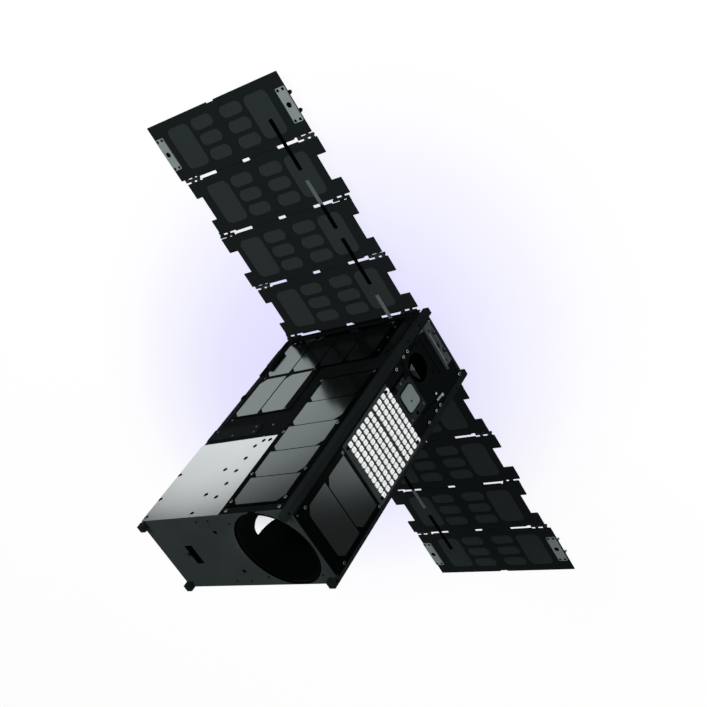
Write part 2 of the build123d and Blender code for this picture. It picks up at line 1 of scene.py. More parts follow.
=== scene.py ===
"""A six-unit nanosatellite with two folding wings: studio light, finishes and small fastened parts.

Everything is in metres in the frame of the solids: x across the large faces, y from the back large face
to the front one, z up to the telescope's opening. Places in the tables are millimetres.
"""

import math

import bpy
from mathutils import Matrix, Vector


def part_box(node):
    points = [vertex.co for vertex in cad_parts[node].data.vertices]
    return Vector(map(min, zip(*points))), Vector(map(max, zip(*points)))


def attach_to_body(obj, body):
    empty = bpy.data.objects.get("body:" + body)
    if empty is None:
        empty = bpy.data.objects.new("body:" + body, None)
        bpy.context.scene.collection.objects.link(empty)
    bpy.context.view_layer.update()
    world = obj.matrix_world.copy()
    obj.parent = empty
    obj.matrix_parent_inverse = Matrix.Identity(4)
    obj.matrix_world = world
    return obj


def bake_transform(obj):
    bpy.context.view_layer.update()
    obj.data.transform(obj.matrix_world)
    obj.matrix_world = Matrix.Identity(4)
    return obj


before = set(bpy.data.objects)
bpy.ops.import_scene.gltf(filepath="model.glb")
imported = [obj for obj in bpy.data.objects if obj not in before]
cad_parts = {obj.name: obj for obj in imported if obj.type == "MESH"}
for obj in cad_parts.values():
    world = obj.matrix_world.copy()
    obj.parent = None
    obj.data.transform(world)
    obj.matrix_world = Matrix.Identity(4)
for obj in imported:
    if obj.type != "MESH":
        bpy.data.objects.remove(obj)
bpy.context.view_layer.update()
scene = bpy.context.scene
mm = 0.001


# ---- Studio: floor, sky and lamps ----------------------------------------------------------------
# A painted white floor, a white sky, three soft lamps, and a narrow lamp that reaches down the tube.
# Towards the camera the floor shines on its own, with a faint lavender glow and a weak shadow. In
# reflections it is a bright oval under the satellite that falls off to grey, as under one lamp.
def linear(hex_colour):
    """sRGB hex to a linear colour."""
    channels = [int(hex_colour[i : i + 2], 16) / 255 for i in (1, 3, 5)]
    return tuple(c / 12.92 if c <= 0.04045 else ((c + 0.055) / 1.055) ** 2.4 for c in channels) + (1.0,)


def add_node(tree, kind, inputs=None, **settings):
    """A node with its settings; an input is a value or the socket that feeds it."""
    node = tree.nodes.new(kind)
    for name, value in settings.items():
        setattr(node, name, value)
    for name, value in (inputs or {}).items():
        if isinstance(value, bpy.types.NodeSocket):
            tree.links.new(value, node.inputs[name])
        else:
            node.inputs[name].default_value = value
    return node


def new_material(name):
    """An empty node material, its tree and its output node."""
    material = bpy.data.materials.new(name)
    material.use_nodes = True
    material.node_tree.nodes.clear()
    output = material.node_tree.nodes.new("ShaderNodeOutputMaterial")
    return material, material.node_tree, output


def ramp(tree, factor, stops):
    """Colour ramp through (position, hex colour) stops."""
    node = add_node(tree, "ShaderNodeValToRGB", {"Fac": factor})
    elements = node.color_ramp.elements
    while len(elements) < len(stops):
        elements.new(0.5)
    for element, (position, colour) in zip(elements, stops):
        element.position = position
        element.color = linear(colour)
    return node.outputs["Color"]


def deselect():
    """Nothing selected, so that the next operator works on its own piece."""
    bpy.ops.object.select_all(action="DESELECT")


floor_size = 40.0
glow_place, glow_turn, glow_stretch = (-0.095, -0.032, 0), math.radians(31.5), 1.56
glow_stops = (
    (0.08, "#e2e0ff"),
    (0.15, "#e7e5ff"),
    (0.21, "#f1f0ff"),
    (0.29, "#fdfcff"),
    (0.35, "#ffffff"),
)
shine_place, shine_turn, shine_stretch = (-0.08, 0.064, 0), math.radians(-22), 4.7
shine_stops = (
    (0.05, "#f1ffff"),
    (0.1, "#dce9e9"),
    (0.125, "#bac5c5"),
    (0.142, "#7b8383"),
    (0.16, "#4c5151"),
)
own_shine = 0.95
deselect()
bpy.ops.mesh.primitive_plane_add(size=floor_size, location=(0, 0, 0))
floor = bpy.context.object
floor.name = "studio_floor"
# Matte white paint with no highlight. Only the two ovals shape it: a painted lavender glow towards
# the camera and a painted pool of light in reflections.
floor_paint, tree, output = new_material("matte white floor paint")
place = add_node(tree, "ShaderNodeTexCoord").outputs["Object"]


def oval(tree, place, centre, turn, stretch):
    """Distance from a centre on the floor, along an oval stretched in a direction."""
    from_centre = add_node(
        tree,
        "ShaderNodeMapping",
        {"Vector": place, "Location": centre, "Rotation": (0, 0, turn), "Scale": (stretch, 1, 1)},
        vector_type="TEXTURE",
    ).outputs[0]
    return add_node(tree, "ShaderNodeVectorMath", {0: from_centre}, operation="LENGTH").outputs["Value"]


glow = ramp(tree, oval(tree, place, glow_place, glow_turn, glow_stretch), glow_stops)
shine = ramp(tree, oval(tree, place, shine_place, shine_turn, shine_stretch), shine_stops)
rays = add_node(tree, "ShaderNodeLightPath")
seen = add_node(tree, "ShaderNodeEmission", {"Color": glow, "Strength": 1.0})
mirrored = add_node(tree, "ShaderNodeBsdfDiffuse", {"Color": shine})
paint = add_node(tree, "ShaderNodeBsdfDiffuse", {"Color": glow})
shadowed = add_node(
    tree, "ShaderNodeMixShader", {"Fac": own_shine, 1: paint.outputs[0], 2: seen.outputs[0]}
)
to_camera = add_node(
    tree,
    "ShaderNodeMixShader",
    {"Fac": rays.outputs["Is Camera Ray"], 1: paint.outputs[0], 2: shadowed.outputs[0]},
)
to_gloss = add_node(
    tree,
    "ShaderNodeMixShader",
    {"Fac": rays.outputs["Is Glossy Ray"], 1: to_camera.outputs[0], 2: mirrored.outputs[0]},
)
tree.links.new(to_gloss.outputs[0], output.inputs["Surface"])
floor.data.materials.append(floor_paint)

sky_on_matte, sky_on_gloss, sky_seen = 0.27, 0.16, 1.0
world = bpy.data.worlds.new("studio_sky")
world.use_nodes = True
scene.world = world
tree = world.node_tree
tree.nodes.clear()
rays = add_node(tree, "ShaderNodeLightPath")
lit, gloss, bright = (
    add_node(tree, "ShaderNodeBackground", {"Color": linear("#ffffff"), "Strength": strength})
    for strength in (sky_on_matte, sky_on_gloss, sky_seen)
)
half = add_node(
    tree,
    "ShaderNodeMixShader",
    {"Fac": rays.outputs["Is Glossy Ray"], 1: lit.outputs[0], 2: gloss.outputs[0]},
)
sky = add_node(
    tree,
    "ShaderNodeMixShader",
    {"Fac": rays.outputs["Is Camera Ray"], 1: half.outputs[0], 2: bright.outputs[0]},
)
tree.links.new(sky.outputs[0], add_node(tree, "ShaderNodeOutputWorld").inputs["Surface"])


def hang_lamp(name, kind, watts, place, aim):
    """A lamp hung at one place and turned towards another."""
    lamp = bpy.data.lights.new(name, kind)
    lamp.energy = watts
    hung = bpy.data.objects.new(name, lamp)
    turn = (Vector(aim) - Vector(place)).to_track_quat("-Z", "Y").to_matrix().to_4x4()
    hung.matrix_world = Matrix.Translation(place) @ turn
    scene.collection.objects.link(hung)
    return lamp


lamp_aim = (0, 0, 0.15)
lamp_table = (  # name, place, size, watts
    ("key_lamp", (-0.4, 1.9, 1.9), 1.2, 48),
    ("side_lamp", (1.9, 0.5, 1.5), 1.2, 26),
    ("top_lamp", (-0.5, -0.9, 2.2), 1.4, 3.5),
)
for name, lamp_place, lamp_size, watts in lamp_table:
    hang_lamp(name, "AREA", watts, lamp_place, lamp_aim).size = lamp_size
beam_place, beam_aim, beam_watts, beam_width = (0.9, 0.3, 1.2), (0.018, 0.006, 0.3), 60, 2.6
tube_patch_lamp = hang_lamp("tube_patch_lamp", "SPOT", beam_watts, beam_place, beam_aim)
tube_patch_lamp.spot_size = math.radians(beam_width)
tube_patch_lamp.spot_blend = 0.2
tube_patch_lamp.shadow_soft_size = 0.01

scene.view_settings.view_transform = "Standard"

# ---- Camera --------------------------------------------------------------------------------------
# Above the front right corner, rolled so that the front wing points up and to the left. The lens is
# that of a 36 mm sensor.
camera_place = Vector((0.88013, 0.54962, 0.91393))
camera_right = Vector((0.74444, -0.49440, -0.44874))
camera_up = Vector((0.14968, 0.77856, -0.60946))
camera_lens = 57.04
camera_data = bpy.data.cameras.new("camera")
camera_data.sensor_width = 36
camera_data.lens = camera_lens
camera = bpy.data.objects.new("camera", camera_data)
turn = Matrix((camera_right, camera_up, camera_right.cross(camera_up))).transposed()
camera.matrix_world = Matrix.Translation(camera_place) @ turn.to_4x4()
scene.collection.objects.link(camera)
scene.camera = camera


# ---- Rails, frames and end plates ----------------------------------------------------------------
# Milled aluminium, hard anodised near black and screwed together: matte, with a fine grain and a slow
# drift of the dye. The real grain is a few hundredths of a millimetre; it is drawn coarser, to show.
def surface(name, colour, other, roughness, metallic=0.0, grain=0.8, drift=40, ior=1.03):
    """A fine-grained finish that drifts between two colours; grain and drift are sizes in mm.

    The low IOR is for matte black finishes, which scatter nearly all that they would mirror.
    """
    material, tree, output = new_material(name)
    place = add_node(tree, "ShaderNodeTexCoord").outputs["Object"]
    slow = add_node(
        tree, "ShaderNodeTexNoise", {"Vector": place, "Scale": 1 / (drift * mm), "Detail": 3.0}
    ).outputs["Fac"]
    fine = add_node(
        tree, "ShaderNodeTexNoise", {"Vector": place, "Scale": 1 / (grain * mm), "Detail": 2.0}
    ).outputs["Fac"]
    rough = add_node(
        tree,
        "ShaderNodeMapRange",
        {"Value": fine, "To Min": 0.85 * roughness, "To Max": min(1.0, 1.15 * roughness)},
    ).outputs[0]
    bump = add_node(
        tree, "ShaderNodeBump", {"Height": fine, "Strength": 0.3, "Distance": 0.03 * grain * mm}
    ).outputs[0]
    shader = add_node(
        tree,
        "ShaderNodeBsdfPrincipled",
        {
            "Base Color": ramp(tree, slow, ((0.35, colour), (0.7, other))),
            "Roughness": rough,
            "Normal": bump,
            "Metallic": metallic,
            "IOR": ior,
        },
    )
    tree.links.new(shader.outputs[0], output.inputs["Surface"])
    return material


def finish_nodes(material, *names):
    """Gives nodes of the solid model a finish."""
    for name in names:
        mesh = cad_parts[name].data
        if not mesh.materials:
            mesh.materials.append(material)
        for index in range(len(mesh.materials)):
            mesh.materials[index] = material


# Hard anodising without dye is a dark grey with a soft sheen, lighter than all that it frames.
rail_finish = surface("hard anodised aluminium, rails", "#131717", "#161b1b", 0.5)
finish_nodes(rail_finish, "rail_front_right", "rail_front_left", "rail_back_right", "rail_back_left")
# Black dyed anodising: nearly black, with light on edges alone.
front_finish = surface("black anodised aluminium, large frames", "#0b0e0e", "#0e1111", 0.55)
finish_nodes(front_finish, "front_frame", "back_frame", "avionics_stack", "front_root_hinge")
finish_nodes(front_finish, "back_root_hinge", "front_flange")
# The same dye on the narrow frames, a trace darker.
side_finish = surface("black anodised aluminium, narrow frames", "#0a0d0d", "#0c0f0f", 0.55)
finish_nodes(side_finish, "left_frame", "right_frame")
# Undyed anodising on a blasted plate: a flat dark grey that sets off the telescope's black mouth.
plate_finish = surface("dark grey anodised aluminium, end plates", "#262b2c", "#2a3030", 0.6)
finish_nodes(plate_finish, "telescope_end_plate", "wing_end_plate")
# Smooth milled strips, a shade lighter than the frame they lie on.
bar_finish = surface("black anodised aluminium, trim", "#101415", "#121717", 0.5)
finish_nodes(bar_finish, "front_bar", "front_margin_strip")
# Blocks turned to the light: a little shine on their rounded edges.
block_finish = surface("black anodised aluminium, hold-downs", "#0e1111", "#141818", 0.45)
finish_nodes(block_finish, "front_hold_downs", "back_hold_downs")


# ---- Telescope -----------------------------------------------------------------------------------
# A rolled aluminium baffle, bolted behind the end plate and sprayed optical black, over a glass mirror.
# High on the wall far from the narrow face, a near-white sheet is a painted pool of light.
def only(made):
    """Selects one object and makes it the active one."""
    deselect()
    made.select_set(True)
    bpy.context.view_layer.objects.active = made


def settle(made):
    """Moves an object's place, turn and size into its mesh."""
    only(made)
    bpy.ops.object.transform_apply(location=True, rotation=True, scale=True)


def open_faces(made, test):
    """Opens an object for editing, with the faces selected that pass a test."""
    only(made)
    bpy.ops.object.mode_set(mode="EDIT")
    bpy.ops.mesh.select_mode(type="FACE")
    bpy.ops.mesh.select_all(action="DESELECT")
    bpy.ops.object.mode_set(mode="OBJECT")
    for polygon in made.data.polygons:
        polygon.select = test(polygon)
    bpy.ops.object.mode_set(mode="EDIT")


def combine(made, tool, operation):
    """Cuts a piece with another one, or keeps what both hold; the tool is used up."""
    settle(made)
    settle(tool)
    only(made)
    modifier = made.modifiers.new("combine", "BOOLEAN")
    modifier.operation = operation
    modifier.object = tool
    bpy.ops.object.modifier_apply(modifier="combine")
    bpy.data.objects.remove(tool)


def attach(made, name, slot, *materials, body="bus"):
    """Names a finished piece, gives it its finishes and lets it ride on a body."""
    settle(made)
    made.name = made.data.name = name
    if not made.data.materials:
        for material in materials:
            made.data.materials.append(material)
    if body:
        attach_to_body(made, body)


def upright_disc(radius, thick, centre, vertices=48):
    """A disc whose axis runs along x."""
    deselect()
    bpy.ops.mesh.primitive_cylinder_add(
        vertices=vertices,
        radius=radius,
        depth=thick,
        location=[value * mm for value in centre],
        rotation=(0, math.pi / 2, 0),
    )
    return bpy.context.object


def plate_between(low, high, unit=1.0):
    """A block between two corners, in metres or in another unit."""
    low, high = ([value * unit for value in corner] for corner in (low, high))
    deselect()
    bpy.ops.mesh.primitive_cube_add(size=1, location=[(a + b) / 2 for a, b in zip(low, high)])
    made = bpy.context.object
    made.scale = [b - a for a, b in zip(low, high)]
    settle(made)
    return made


# Optical black drinks nearly all light, so the vanes are barely seen.
black_paint = surface("optical black paint", "#010202", "#020303", 0.9, ior=1.1)
finish_nodes(black_paint, "telescope_baffle", "umbilical_socket")
# Silvered glass mirrors what little light reaches the foot of the tube.
mirror_glass = surface("silvered mirror glass", "#c4c8cc", "#ccd0d4", 0.05, metallic=1.0, ior=1.5)
finish_nodes(mirror_glass, "telescope_mirror")

# The painted pool of light is a thin shell just inside the tube's wall. A cutter, round at the top and
# pulled down to a leaning tongue, gives it its outline, and a large disc takes the shaded part away.
tube_low, tube_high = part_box("telescope_baffle")
tube_wall = 1.2 * mm
tube_inner = (tube_high[1] - tube_low[1]) / 2 - tube_wall
tube_axis_x = 62.25
light_patch_thick = 0.1 * mm
shell_middle, shell_high = 290.0, 90.0
tongue_radius, tongue_y, tongue_z = 12.1, 2.7, 297.8
tongue_split, tongue_pull = 297.0, (0, -6.0 * mm, -16.0 * mm)
shade_radius, shade_y, shade_z = 86.8, -87.0, 311.5
cutter_x = tube_axis_x - 40
deselect()
bpy.ops.mesh.primitive_cylinder_add(
    vertices=180,
    radius=tube_inner - light_patch_thick,
    depth=shell_high * mm,
    location=(tube_axis_x * mm, 0, shell_middle * mm),
    end_fill_type="NOTHING",
)
tube_light_patch = bpy.context.object
settle(tube_light_patch)
open_faces(tube_light_patch, lambda polygon: polygon.center.x > tube_axis_x * mm)
bpy.ops.mesh.delete(type="FACE")
bpy.ops.mesh.select_all(action="SELECT")
bpy.ops.mesh.solidify(thickness=-0.8 * light_patch_thick)
bpy.ops.object.mode_set(mode="OBJECT")
tongue = upright_disc(tongue_radius * mm, 80 * mm, (cutter_x, tongue_y, tongue_z))
settle(tongue)
open_faces(
    tongue, lambda polygon: polygon.center.z < tongue_split * mm and abs(polygon.normal.x) < 0.5
)
bpy.ops.transform.translate(value=tongue_pull)
bpy.ops.object.mode_set(mode="OBJECT")
combine(tube_light_patch, tongue, "INTERSECT")
shade = upright_disc(shade_radius * mm, shell_high * mm, (cutter_x, shade_y, shade_z), 180)
combine(tube_light_patch, shade, "DIFFERENCE")
# Painted light: a near-white finish for the patch of the wall that the narrow lamp lights.
tube_light_paint = surface("painted light, tube wall", "#f0f3f3", "#f4f7f7", 0.6, ior=1.4)
attach(tube_light_patch, "telescope_tube_painted_light", "bare_metal", tube_light_paint)

# Painted shade: a black foam strip on the back frame fills the gap under the end plate, dark as a gap.
foam_and_gap_shade = surface("black foam, also painted gap shade", "#020303", "#040505", 0.95, ior=1.1)
gap_shade_low, gap_shade_high = (38.0, -49.8, 324.0), (87.0, -48.5, 331.5)
gap_shade_strip = plate_between(gap_shade_low, gap_shade_high, mm)
attach(gap_shade_strip, "back_gap_shade_strip", "baffle", foam_and_gap_shade)


def paint_over(material, mask, colour):
    """Another colour over a finish, wherever a mask made in its own tree is one."""
    tree = material.node_tree
    base = tree.nodes["Principled BSDF"].inputs["Base Color"]
    mix = add_node(tree, "ShaderNodeMix", {"Factor": mask}, data_type="RGBA")
    tree.links.new(base.links[0].from_socket, mix.inputs[6])
    mix.inputs[7].default_value = linear(colour)
    tree.links.new(mix.outputs[2], base)


# The end plate's opening has a band of the black paint round its edge, also on its wall.
band_radius = 50.3 * mm
tree = plate_finish.node_tree
place = add_node(tree, "ShaderNodeTexCoord").outputs["Object"]
across = add_node(
    tree, "ShaderNodeVectorMath", {0: place, 1: (1, 1, 0)}, operation="MULTIPLY"
).outputs[0]
from_axis = add_node(
    tree, "ShaderNodeVectorMath", {0: across, 1: (tube_axis_x * mm, 0, 0)}, operation="DISTANCE"
).outputs["Value"]
in_band = add_node(
    tree, "ShaderNodeMath", {0: from_axis, 1: band_radius}, operation="LESS_THAN"
).outputs[0]
paint_over(plate_finish, in_band, "#010202")

# ---- Boards and solar cells ----------------------------------------------------------------------
# Circuit boards under black solder mask, screwed to the frames, carry the cells: dark wafers glued
# under a flat cover glass, with fine collector lines across.

# Black solder mask: a smooth lacquer, so deep that it looks like the gaps round the cells.
board_finish = surface("black solder mask", "#010202", "#030404", 0.25)
finish_nodes(board_finish, "front_corner_board", "back_corner_board", "front_strip_board")
finish_nodes(board_finish, "back_strip_board", "left_board")
# The narrow face's board mirrors the floor a little.
side_board_finish = surface("black solder mask, narrow face", "#010202", "#020303", 0.2, ior=1.12)
finish_nodes(side_board_finish, "right_board")
# A matte grey mask, on which the white tiles stand out.
array_finish = surface("grey solder mask", "#2b3232", "#313838", 0.45)
finish_nodes(array_finish, "antenna_array")


def cell_glass(name, colour, axis, roughness, line_pitch=2.5, ripple=40, ior=2.25):
    """Cover glass over dark wafers, with collector lines along an axis of the body; sizes in mm."""
    material, tree, output = new_material(name)
    place = add_node(tree, "ShaderNodeTexCoord").outputs["Object"]
    along = add_node(tree, "ShaderNodeSeparateXYZ", {"Vector": place}).outputs[axis]
    pitches = add_node(
        tree, "ShaderNodeMath", {0: along, 1: line_pitch * mm}, operation="DIVIDE"
    ).outputs[0]
    share = add_node(tree, "ShaderNodeMath", {0: pitches}, operation="FRACT").outputs[0]
    wafer = ramp(tree, share, ((0.0, "#06090a"), (0.06, colour), (0.97, colour), (1.0, "#06090a")))
    uneven = add_node(
        tree, "ShaderNodeTexNoise", {"Vector": place, "Scale": 1 / (ripple * mm), "Detail": 3.0}
    ).outputs["Fac"]
    rough = add_node(
        tree,
        "ShaderNodeMapRange",
        {"Value": uneven, "To Min": 0.8 * roughness, "To Max": 1.2 * roughness},
    ).outputs[0]
    shader = add_node(
        tree, "ShaderNodeBsdfPrincipled", {"Base Color": wafer, "Roughness": rough, "IOR": ior}
    )
    tree.links.new(shader.outputs[0], output.inputs["Surface"])
    return material


# Coated cover glass mirrors more than plain glass, so the floor and the wing lie softly in it over a
# black wafer. On the wings' lower sides the wafers have a trace of blue.
wide_glass = cell_glass("solar cell glass, large faces", "#010101", "X", 0.15)
finish_nodes(wide_glass, "front_corner_cells", "back_corner_cells")
finish_nodes(wide_glass, "front_strip_cells", "back_strip_cells")
side_glass = cell_glass("solar cell glass, narrow faces", "#010202", "Y", 0.14)
finish_nodes(side_glass, "right_cells", "left_cells")
wing_glass = cell_glass("solar cell glass, wings", "#03040a", "X", 0.12)
for wing in ("front", "back"):
    finish_nodes(wing_glass, *(f"{wing}_panel_{number}_cells" for number in range(1, 5)))

# ---- Antenna array -------------------------------------------------------------------------------
# White glazed ceramic tiles with rounded corners and a dip in the middle, soldered to the grey board in
# ten rows of eleven, with one wider gap between the rows.
pad_wide, pad_long, pad_high = 5.9 * mm, 6.3 * mm, 1.2 * mm
pad_round, pad_rim, pad_well, pad_dip = 1.5 * mm, 0.15 * mm, 0.9 * mm, 0.1 * mm
pad_first_y, pad_pitch, pad_columns = 32.2, 7.06, 11
pad_rows = (218.7, 209.2, 199.7, 190.2, 180.7, 171.2, 159.9, 150.4, 140.8, 131.3)


def round_corners(made, axis, radius, segments=6):
    """Rounds the edges of a block that run along an axis."""
    only(made)
    bpy.ops.object.mode_set(mode="EDIT")
    bpy.ops.mesh.select_mode(type="EDGE")
    bpy.ops.mesh.select_all(action="DESELECT")
    bpy.ops.object.mode_set(mode="OBJECT")
    points = made.data.vertices
    for edge in made.data.edges:
        run = points[edge.vertices[1]].co - points[edge.vertices[0]].co
        edge.select = abs(run[axis]) > 0.9 * run.length
    bpy.ops.object.mode_set(mode="EDIT")
    bpy.ops.mesh.bevel(offset=radius, segments=segments, affect="EDGES")
    bpy.ops.object.mode_set(mode="OBJECT")


def turned(made, outward):
    """Points a piece that faces up along another direction, about the origin."""
    made.matrix_world = Vector(outward).to_track_quat("Z", "Y").to_matrix().to_4x4() @ made.matrix_world
    settle(made)


def spread(made, outward, level, places):
    """Copies of a piece over (u, v) places in mm on a face, joined into one object.

    u and v are y, z on a face across x, then x, z across y, and x, y across z; level is in metres.
    """
    turned(made, outward)
    twins = []
    for u, v in places:
        spot = [u * mm, v * mm]
        spot.insert([abs(value) for value in outward].index(1), level)
        twin = made.copy()
        twin.data = made.data.copy()
        twin.location = spot
        scene.collection.objects.link(twin)
        twins.append(twin)
    bpy.data.objects.remove(made)
    deselect()
    for twin in twins:
        twin.select_set(True)
    bpy.context.view_layer.objects.active = twins[0]
    if len(twins) > 1:
        bpy.ops.object.join()
    return bpy.context.view_layer.objects.active


def chamfer(made, amount, segments=1):
    """Breaks the sharp edges of a piece."""
    only(made)
    modifier = made.modifiers.new("chamfer", "BEVEL")
    modifier.width = amount
    modifier.segments = segments
    bpy.ops.object.modifier_apply(modifier="chamfer")


# Glaze over white ceramic: bright, with a soft shine. The dip is bare and a little darker.
ceramic = surface("white glazed ceramic", "#f0f1f0", "#f6f7f6", 0.4, ior=1.4)
pad_centre = surface("bare ceramic, pad centre", "#c9cdcc", "#d2d6d5", 0.6, ior=1.4)
pad = plate_between((-pad_wide / 2, -pad_long / 2, 0), (pad_wide / 2, pad_long / 2, pad_high))
round_corners(pad, 2, pad_round, 3)
chamfer(pad, pad_rim)
deselect()
bpy.ops.mesh.primitive_cylinder_add(
    vertices=16, radius=pad_well, depth=2 * pad_dip, location=(0, 0, pad_high)
)
combine(pad, bpy.context.object, "DIFFERENCE")
for finish in (ceramic, pad_centre):
    pad.data.materials.append(finish)
for polygon in pad.data.polygons:
    middle = polygon.center
    polygon.material_index = int(middle.xy.length < 0.5 * pad_well and middle.z > 0.5 * pad_high)
narrow = (1, 0, 0)
array_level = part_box("antenna_array")[1][0]
pad_ys = [pad_first_y - column * pad_pitch for column in range(pad_columns)]
pad_places = [(y, z) for z in pad_rows for y in pad_ys]
attach(spread(pad, narrow, array_level, pad_places), "array_pads", "ceramic", ceramic)

# ---- Fasteners -----------------------------------------------------------------------------------
# Stainless cap screws with hexagon sockets, on dark rings of painted shade for their counterbores;
# small pan screws on the boards; blackened screws on the array and the tracker; and dark discs of
# painted shade for holes where nothing is fitted.

# Turned steel, passivated: the brightest dots on the frames.
steel = surface("passivated stainless steel", "#8b9191", "#989e9e", 0.35, 1.0, grain=0.3, ior=1.5)
# Painted shade: the same steel on the small screws, rougher and a shade darker.
shaded_small_steel = surface(
    "stainless steel, small screws, painted shade", "#6b7171", "#757b7b", 0.45, 1.0, grain=0.3, ior=1.5
)
# Black oxide hides a screw on a black part but for a faint rim. It also rims the painted dark holes.
black_steel_and_hole_shade = surface("black oxide steel, also painted hole shade", "#050707", "#090b0b", 0.5)
# Painted shade for the inside of a hole, a socket or a slot, which no light reaches.
bore_dark = surface("unlit bore", "#010101", "#020202", 0.95, ior=1.05)


def head(radius, high, well, sides, finish):
    """A screw head or eyelet on the origin, facing up, with a dark well of some sides in its top."""
    deselect()
    bpy.ops.mesh.primitive_cylinder_add(vertices=24, radius=radius * mm, depth=high * mm)
    made = bpy.context.object
    made.location.z = high * mm / 2
    settle(made)
    chamfer(made, 0.16 * min(radius, high) * mm)
    deselect()
    deep = min(0.75 * high, 0.6)
    bpy.ops.mesh.primitive_cylinder_add(vertices=sides, radius=well * mm, depth=2 * deep * mm)
    cutter = bpy.context.object
    cutter.location.z = high * mm
    combine(made, cutter, "DIFFERENCE")
    made.data.materials.append(finish)
    made.data.materials.append(bore_dark)
    for polygon in made.data.polygons:
        in_well = polygon.center.xy.length < 1.01 * well * mm
        if in_well and (high - 1.1 * deep) * mm < polygon.center.z < 0.95 * high * mm:
            polygon.material_index = 1
    return made


def fasten(name, kind, outward, carrier, places, body="bus"):
    """One set of like fasteners on the outer side of a node."""
    low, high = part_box(carrier)
    axis = [abs(value) for value in outward].index(1)
    level = high[axis] if sum(outward) > 0 else low[axis]
    attach(spread(head(*fastener_kinds[kind]), outward, level, places), name, "bare_metal", body=body)


# In ring, the hole kinds and bush, the wide unlit well is painted shade for a counterbore or a hole.
fastener_kinds = {  # radius, height, radius of the well, its sides, finish
    "ring": (3.5, 0.12, 3.3, 24, black_steel_and_hole_shade),
    "cap": (2.1, 0.9, 1.3, 6, steel),
    "pan": (1.9, 0.7, 1.1, 6, steel),
    "small": (1.25, 0.5, 0.65, 6, shaded_small_steel),
    "black": (1.5, 0.6, 0.7, 6, black_steel_and_hole_shade),
    "array": (1.9, 2.1, 0.8, 6, black_steel_and_hole_shade),
    "eyelet": (2.7, 0.2, 2.5, 24, steel),
    "hole": (2.5, 0.1, 2.3, 24, black_steel_and_hole_shade),
    "pin_hole": (1.4, 0.1, 1.3, 24, black_steel_and_hole_shade),
    "bracket_hole": (1.8, 0.1, 1.7, 24, black_steel_and_hole_shade),
    "bush": (3.2, 0.2, 2.8, 24, black_steel_and_hole_shade),
}
large, top = (0, 1, 0), (0, 0, 1)

frame_screws = ((37, 99.5), (38.6, 79), (38.6, 69), (-40, 99.5), (-40, 79), (-40, 68.5))
frame_screws += ((38, 12.2), (-39.5, 12.2))
# The counterbores are dark rings of painted shade under the cap screws.
fasten("narrow_frame_counterbore_shade", "ring", narrow, "right_frame", frame_screws)
fasten("narrow_frame_screws", "cap", narrow, "right_frame", frame_screws)
fasten("narrow_board_locating_screw", "small", narrow, "right_board", ((36.4, 326.9),))
board_screws = ((34.5, 313.5), (-42, 313.5), (34.5, 233.5), (-42, 232.5))
fasten("narrow_board_screws", "pan", narrow, "right_board", board_screws)
array_screws = ((32.5, 224.7), (-38.9, 223.4), (33, 134.1), (-39, 133.7))
fasten("array_screws", "array", narrow, "antenna_array", array_screws)
plate_screws = ((-18.5, 121), (-18.5, 91.5), (22.5, 106.5))
fasten("patch_plate_screws", "small", narrow, "patch_plate", plate_screws)
fasten("patch_plate_knob", "hole", narrow, "patch_plate", ((-18.5, 107.5),))
tracker_screws = ((35, 50.5), (-5, 50.5), (35, 85.5), (-5, 85.5))
fasten("tracker_screws", "black", narrow, "star_tracker", tracker_screws)
# Painted shade: dark discs a little off the screws, for the shadow in their counterbores.
fasten("side_bracket_screw_shade", "hole", narrow, "side_bracket", ((24.6, 15), (-1.2, 15)))
fasten("bracket_screws", "small", narrow, "side_bracket", ((25.2, 14.4), (-0.6, 14.4)))

radiator_holes = [(-109.2, 326), (-33.2, 326), (-110.2, 297.5), (-33.7, 297.5)]
radiator_holes += [(-110.2, 258), (-34.2, 258)]
radiator_holes += [(-13.2, z) for z in (303, 282.5, 262.5, 242.5, 222.5)] + [(-5.2, 214.5), (4.8, 214.5)]
fasten("radiator_holes", "eyelet", large, "front_radiator", radiator_holes)
fasten("flange_screws", "cap", large, "front_flange", ((21.4, 327), (98.3, 327)))
strip_screws = [(17.6, z) for z in (312.5, 270.5, 203.5, 114.5)]
strip_screws += [(96.8, z) for z in (313, 272, 201.5, 114)]
fasten("strip_board_screws", "pan", large, "front_strip_board", strip_screws)
corner_screws = ((-96.2, 86.1), (-12.2, 86.1), (-12, 157.5), (78.8, 72), (78.8, 47.5), (78.8, 27.5))
fasten("corner_board_screws", "small", large, "front_corner_board", corner_screws)
large_frame_screws = ((-96.2, 163.6), (-13.1, 204.5), (-12.1, 185))
fasten("large_frame_screws", "small", large, "front_frame", large_frame_screws)

behind = (0, -1, 0)
fasten("back_radiator_holes", "eyelet", behind, "back_radiator", radiator_holes)
fasten("back_strip_board_screws", "pan", behind, "back_strip_board", strip_screws)
back_corner_screws = [(-u, v) for u, v in corner_screws]
fasten("back_corner_board_screws", "small", behind, "back_corner_board", back_corner_screws)
left_screws = [(y, z) for y in (-38, 38) for z in (26, 124, 216, 314)]
fasten("left_board_screws", "pan", (-1, 0, 0), "left_board", left_screws)

